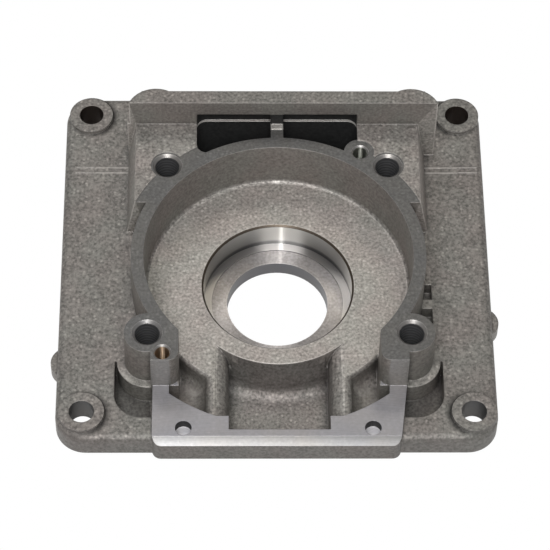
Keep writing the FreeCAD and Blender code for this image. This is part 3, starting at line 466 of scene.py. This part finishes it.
# painted shade: a darker copy of the drilled hole for the two rear corner holes
DRILLED_SHADED = turned_material("drilled_hole_painted_shade", (0.055, 0.043, 0.036), 0.7, 0.4, pitch=2500.0)
REAMED = turned_material("reamed_hole", (0.40, 0.30, 0.21), 0.95, 0.22, pitch=3500.0, streak=0.4)
REAMED_REAR = turned_material("reamed_hole_rear", (0.30, 0.305, 0.27), 0.95, 0.22, pitch=3500.0, streak=0.4)
# painted shade: the wall of the platform holes is near-black
PEG_SHADED = turned_material("peg_wall_painted_shade", (0.012, 0.012, 0.012), 0.4, 0.6, pitch=2500.0, wear=0.0)
# painted light: the bottom of the platform holes is lighter than the platform
PEG_END_LIT = turned_material("peg_end_painted_light", (0.63, 0.62, 0.64), 0.5, 0.45, pitch=2500.0)
BREAK = turned_material("broken_edge", (0.30, 0.29, 0.28), 0.85, 0.38, pitch=4000.0, wear=0.2)
# painted shade: cast skin darkened strongly in the corners of the channel
TROUGH_SHADED = cast_material("trough_painted_shade", (0.09, 0.084, 0.078), (0.245, 0.228, 0.214), 0.4, 0.55, bump=0.6,
                       darkest_corner_shade=0.15, reach=6.0)
# painted shade: a darker copy of the cast skin in the hollows beside the front bosses
HOLLOW_SHADED = cast_material("hollow_painted_shade", (0.05, 0.046, 0.043), (0.115, 0.107, 0.1), 0.4, 0.55, bump=0.3,
                       wear=0.2, flecks=0.15, darkest_corner_shade=0.3)
# painted light: a much lighter copy of the cast skin on the tops of the middle web and the vent ledge
WEB_LIT = cast_material("web_top_painted_light", (0.28, 0.265, 0.25), (0.42, 0.40, 0.38), 0.5, 0.45, bump=0.3, flecks=0.2)
# painted shade: a near-black skin inside the vents
VENT_SHADE = cast_material("vent_inside_painted_shade", (0.008, 0.008, 0.008), (0.02, 0.02, 0.02), 0.2, 0.7, bump=0.2, wear=0.3,
                     flecks=0.1)
THREADS = [thread_material("thread_m10_%d" % i, (x * MM, y * MM, 0), TAP_PITCH * MM, (0.20, 0.20, 0.205))
           for i, (x, y) in enumerate(TAPS)]
MATERIALS = [CAST, FLANGE, LIT_CAST, WALL, FRONT_SHADED, MILLED, NECK, PLATFORM, CHAMFER, SEAT, MOUTH_SHADED, SHOULDER,
             LAND, THROAT, DRILLED, DRILLED_SHADED, REAMED, REAMED_REAR, PEG_SHADED, PEG_END_LIT, BREAK, TROUGH_SHADED, HOLLOW_SHADED,
             WEB_LIT, VENT_SHADE, *THREADS]
NUMBER = {material.name: index for index, material in enumerate(MATERIALS)}


# ------------------------------------------------------------------ which face has which finish
# how far a face's normal rises: a wall rises less than WALL_UP, a level face more than FLAT_UP
WALL_UP, STEEP_UP, LEDGE_UP, FLAT_UP = 0.35, 0.5, 0.9, 0.98
BREAK_UP = 0.3
TO_FRONT = -0.3
NEAR = 0.1
LEVEL = 0.06
SEAT_BREAK, TAP_BREAK, DOWEL_BREAK = 0.9, 1.2, 0.8
SHOULDER_STEP = 1.0
PLATFORM_REAR, CHAMFER_REAR, CHAMFER_HALF = -43.0, -63.0, 44.0
NECK_Y, NECK_INNER, NECK_OUTER = -44.0, 34.0, 43.7
FRONT_WALL_Y = -54.0
FLANGE_Z, FLANGE_R = 3.0, 55.0

# regions of the casting, mm: from and to in |x|, in y and in z
FAR = 1000.0
VENT_BACK = ((-FAR, 28.6), (56.5, FAR), (17.3, 25.0))
MIDDLE_WEB = ((-FAR, 2.1), (44.0, 57.5), (-FAR, FAR))
VENT_LEDGE = ((-FAR, 28.6), (56.0, FAR), (17.3, 17.7))
BLOCK_FLANK = ((49.5, FAR), (15.0, 62.0), (2.5, FAR))
VENT_WALL = ((2.0, 28.6), (43.5, 60.5), (-FAR, 17.4))
CORNER_HOLLOW = ((44.0, 60.0), (-57.0, -36.0), (-FAR, -3.5))
MOAT = ((22.0, 37.0), (-57.0, -36.0), (-FAR, -2.5))
CHANNEL = ((-FAR, 18.5), (-66.5, -30.0), (-14.8, -0.8))


def finish_of(centre, normal):
    """Name of the finish of a face, from its centre in mm and its normal."""
    x, y, z = centre
    r = math.hypot(x, y)
    _, ahead, up = normal
    side = abs(up) < WALL_UP
    sloped = BREAK_UP < up < LEDGE_UP

    def within(region):
        return all(start < value < end for value, (start, end) in zip((abs(x), y, z), region))

    for i, (hx, hy) in enumerate(TAPS):
        away = math.hypot(x - hx, y - hy)
        if away < TAP_R + NEAR and z < FACE_Z:
            return "thread_m10_%d" % i
        if away < TAP_R + TAP_BREAK and sloped:
            return "broken_edge"
    for hx, hy in PEGS:
        if math.hypot(x - hx, y - hy) < PEG_R + NEAR and z < PLATFORM_Z - NEAR:
            return "peg_wall_painted_shade" if side else "peg_end_painted_light"
    for hx, hy in DOWELS:
        away = math.hypot(x - hx, y - hy)
        if away < DOWEL_R + NEAR and z < FACE_Z - 2 * NEAR:
            return "reamed_hole_rear" if y > 0 else "reamed_hole"
        if away < DOWEL_R + DOWEL_BREAK and sloped:
            return "broken_edge"
    for hx, hy in CORNERS:
        if math.hypot(x - hx, y - hy) < CORNER_R + NEAR and side:
            return "drilled_hole_painted_shade" if y > 0 else "drilled_hole"
    if SHOULDER_R - NEAR < r < SEAT_R + SEAT_BREAK and SHOULDER_Z - 2 * NEAR < z < 0.01:
        if side:
            return "bearing_seat"
        return "turned_shoulder" if up > LEDGE_UP else "seat_mouth_painted_reflection"
    if abs(r - SHOULDER_R) < 2 * NEAR and side and SHOULDER_Z - SHOULDER_STEP < z < SHOULDER_Z:
        return "broken_edge"
    if r < SHOULDER_R + NEAR and up > STEEP_UP and z < SHOULDER_Z:
        return "cast_land"
    if r < THROUGH_R + 2 * NEAR and side:
        return "through_hole"
    if up > FLAT_UP and abs(z - FACE_Z) < LEVEL:
        return "milled_face"
    if up > FLAT_UP and abs(z - PLATFORM_Z) < LEVEL and y < PLATFORM_REAR:
        return "milled_platform"
    if y < CHAMFER_REAR and STEEP_UP < up < LEDGE_UP and abs(x) < CHAMFER_HALF and ahead < -STEEP_UP:
        return "milled_chamfer"
    if side and abs(y - NECK_Y) < NEAR and NECK_INNER < abs(x) < NECK_OUTER and z > PLATFORM_Z:
        return "milled_neck"
    if within(VENT_BACK) and side and ahead < TO_FRONT:
        return "vent_inside_painted_shade"
    if within(MIDDLE_WEB) and up > 0.7 or within(VENT_LEDGE) and up > LEDGE_UP:
        return "web_top_painted_light"
    if within(BLOCK_FLANK) and side:
        return "die_cast_painted_light"
    if within(VENT_WALL) and r > RING_R - NEAR and side:
        return "vent_inside_painted_shade"
    if within(CORNER_HOLLOW) and up > WALL_UP:
        return "hollow_painted_shade"
    if within(MOAT) and up > -STEEP_UP:
        return "die_cast_wall"
    if within(CHANNEL) and up > -STEEP_UP:
        return "trough_painted_shade" if up > 0.6 else "die_cast_front_painted_shade"
    if y < FRONT_WALL_Y and ahead < TO_FRONT and up < 0.6:
        return "die_cast_front_painted_shade"
    if side:
        return "die_cast_wall"
    if up > LEDGE_UP and r < POCKET_R and abs(z) < 0.4:
        return "die_cast_painted_light"
    if up > 0.0 and (z < FLANGE_Z and r > FLANGE_R or z > RIM_Z - 0.5):
        return "die_cast_flange"
    return "die_cast_skin"


mesh = housing.data
mesh.materials.clear()
for material in MATERIALS:
    mesh.materials.append(material)
for face in mesh.polygons:
    face.material_index = NUMBER[finish_of(np.array(face.center) / MM, face.normal)]

# ------------------------------------------------------------------ floor, light, camera
FLOOR_REACH = 3.0
WARM_WHITE = (1.0, 0.95, 0.82)
WORLD_STRENGTH = 0.26

floor_z = size_before[0][2]
corners = [(x * FLOOR_REACH, y * FLOOR_REACH, floor_z) for x, y in ((-1, -1), (1, -1), (1, 1), (-1, 1))]
floor_mesh = bpy.data.meshes.new("floor")
floor_mesh.from_pydata(corners, [], [(0, 1, 2, 3)])
floor = bpy.data.objects.new("floor", floor_mesh)
bpy.context.scene.collection.objects.link(floor)
sweep = bpy.data.materials.new("white_sweep")
sweep.use_nodes = True
tree = sweep.node_tree
tree.nodes.clear()
out = node(tree, "OutputMaterial")
paper = node(tree, "BsdfDiffuse", {"Color": (0.8, 0.8, 0.8, 1.0)})
glow = node(tree, "Emission", {"Color": (1.0, 1.0, 1.0, 1.0), "Strength": 1.0})
path = node(tree, "LightPath")
mixed = node(tree, "MixShader", {0: path.outputs["Is Camera Ray"], 1: paper.outputs[0], 2: glow.outputs[0]})
tree.links.new(mixed.outputs[0], out.inputs["Surface"])
floor_mesh.materials.append(sweep)


def softbox(name, place, size, watts):
    """Square area light that faces the origin."""
    lamp = bpy.data.lights.new(name, "AREA")
    lamp.shape = "SQUARE"
    lamp.size = size
    lamp.energy = watts
    holder = bpy.data.objects.new(name, lamp)
    holder.location = place
    holder.rotation_mode = "QUATERNION"
    holder.rotation_quaternion = (-Vector(place)).to_track_quat("-Z", "Y")
    bpy.context.scene.collection.objects.link(holder)
    return lamp


softbox("key", place=(-0.06, -0.55, 1.2), size=0.8, watts=14.6)
strip = softbox("strip", place=(-0.05, -0.58, 0.6), size=0.026, watts=2.0)
strip.shape = "RECTANGLE"
strip.size_y = 0.4
softbox("rear_left", place=(-0.36, 0.6, 0.9), size=0.35, watts=2.4)
warm = softbox("rear_right", place=(0.22, 0.66, 0.9), size=0.25, watts=1.2)
warm.color = WARM_WHITE

world = bpy.data.worlds.new("studio")
world.use_nodes = True
world.node_tree.nodes["Background"].inputs["Color"].default_value = (1.0, 1.0, 1.0, 1.0)
world.node_tree.nodes["Background"].inputs["Strength"].default_value = WORLD_STRENGTH
bpy.context.scene.world = world

# camera: its turn in degrees, its distance to the origin and its shift across and up in m
ELEVATION = math.radians(54.41)
YAW = math.radians(-1.73)
ROLL = math.radians(1.42)
DISTANCE = 0.9975
ASIDE = -0.00098
ABOVE = 0.00376
SENSOR = 36.0
LENS_PER_SENSOR = 57.0 / 11.0
level = math.cos(ELEVATION)
back = Vector((level * math.sin(YAW), -level * math.cos(YAW), math.sin(ELEVATION)))
right = Vector((math.cos(YAW), math.sin(YAW), 0.0))
upward = back.cross(right)
across = math.cos(ROLL) * right + math.sin(ROLL) * upward
rising = -math.sin(ROLL) * right + math.cos(ROLL) * upward
camera = bpy.data.objects.new("camera", bpy.data.cameras.new("camera"))
camera.data.sensor_width = SENSOR
camera.data.lens = SENSOR * LENS_PER_SENSOR
camera.data.clip_start = 0.05
turn = Matrix((across, rising, back)).transposed().to_4x4()
camera.matrix_world = Matrix.Translation(back * DISTANCE + across * ASIDE + rising * ABOVE) @ turn
bpy.context.scene.collection.objects.link(camera)
bpy.context.scene.camera = camera
bpy.context.scene.view_settings.view_transform = "Standard"
